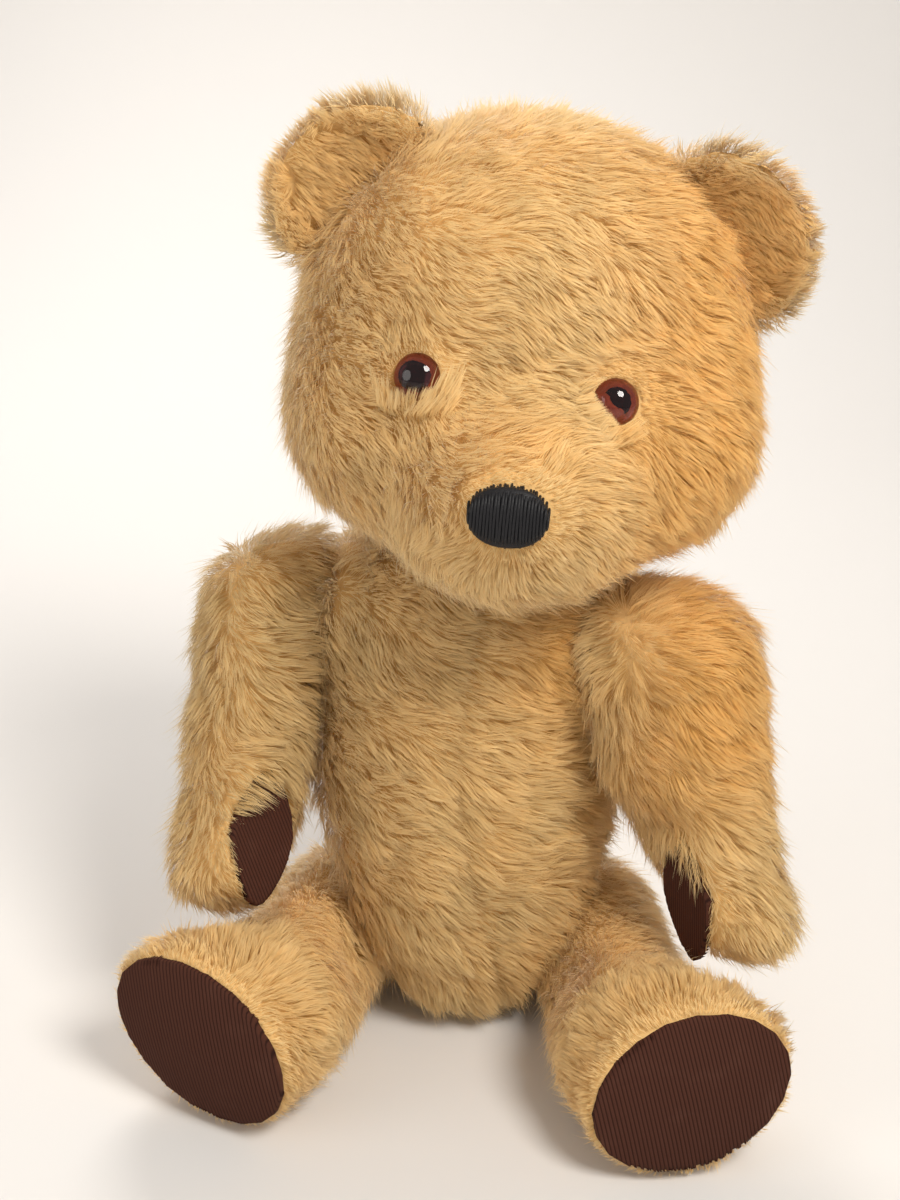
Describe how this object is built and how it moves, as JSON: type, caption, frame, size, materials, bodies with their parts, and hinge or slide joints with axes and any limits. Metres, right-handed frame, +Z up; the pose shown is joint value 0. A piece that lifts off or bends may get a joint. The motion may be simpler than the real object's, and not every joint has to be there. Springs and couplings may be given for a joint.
{
  "type": "teddy bear",
  "caption": "Sitting jointed mohair teddy bear with turning head, arms and legs, amber eyes, stitched nose and brown cotton pads.",
  "frame": {"origin": "under the torso, on the flat that the bear sits on", "axes": "+Z up, the face towards -Y, +X to the bear's own left"},
  "size_m": [0.208, 0.169, 0.2945],
  "materials": {
    "mohair": "rough",
    "brown_cotton": "matte",
    "amber_plastic": "gloss",
    "black_plastic": "gloss",
    "black_thread": "satin",
    "hardboard": "matte",
    "steel": "satin"
  },
  "bodies": {
    "torso": {"torso": "mohair", "neck_body_disc": "hardboard", "neck_body_washer": "steel", "neck_pin": "steel", "shoulder_right_body_disc": "hardboard", "shoulder_right_body_washer": "steel", "shoulder_right_pin": "steel", "shoulder_left_body_disc": "hardboard", "shoulder_left_body_washer": "steel", "shoulder_left_pin": "steel", "hip_right_body_disc": "hardboard", "hip_right_body_washer": "steel", "hip_right_pin": "steel", "hip_left_body_disc": "hardboard", "hip_left_body_washer": "steel", "hip_left_pin": "steel"},
    "head": {"head": "mohair", "ear_left": "mohair", "ear_right": "mohair", "eye_dome_left": "amber_plastic", "eye_dome_right": "amber_plastic", "eye_pupil_left": "black_plastic", "eye_pupil_right": "black_plastic", "eye_lock_washer_left": "steel", "eye_lock_washer_right": "steel", "nose": "black_thread", "neck_limb_disc": "hardboard", "neck_limb_washer": "steel"},
    "arm_right": {"arm_right": "mohair", "paw_pad_right": "brown_cotton", "shoulder_right_limb_disc": "hardboard", "shoulder_right_limb_washer": "steel"},
    "arm_left": {"arm_left": "mohair", "paw_pad_left": "brown_cotton", "shoulder_left_limb_disc": "hardboard", "shoulder_left_limb_washer": "steel"},
    "leg_right": {"leg_right": "mohair", "foot_pad_right": "brown_cotton", "hip_right_limb_disc": "hardboard", "hip_right_limb_washer": "steel"},
    "leg_left": {"leg_left": "mohair", "foot_pad_left": "brown_cotton", "hip_left_limb_disc": "hardboard", "hip_left_limb_washer": "steel"}
  },
  "joints": [
    {"name": "neck", "type": "hinge", "parent": "torso", "child": "head", "pos_m": [-0.004, 0.003, 0.1592], "axis": [0, 0, 1], "range_deg": [-80, 80]},
    {"name": "shoulder_right", "type": "hinge", "parent": "torso", "child": "arm_right", "pos_m": [-0.0562, -0.001, 0.1335], "axis": [-0.9937, -0.1004, 0.0502], "range_deg": [0, 75]},
    {"name": "shoulder_left", "type": "hinge", "parent": "torso", "child": "arm_left", "pos_m": [0.0335, -0.0115, 0.1288], "axis": [0.9149, -0.305, 0.2643], "range_deg": [-60, 60]},
    {"name": "hip_right", "type": "hinge", "parent": "torso", "child": "leg_right", "pos_m": [-0.0275, -0.008, 0.0305], "axis": [-0.8491, 0.243, -0.469], "range_deg": [-50, 0]},
    {"name": "hip_left", "type": "hinge", "parent": "torso", "child": "leg_left", "pos_m": [0.0255, -0.006, 0.0305], "axis": [0.8699, 0.153, -0.4689], "range_deg": [0, 50]}
  ]
}
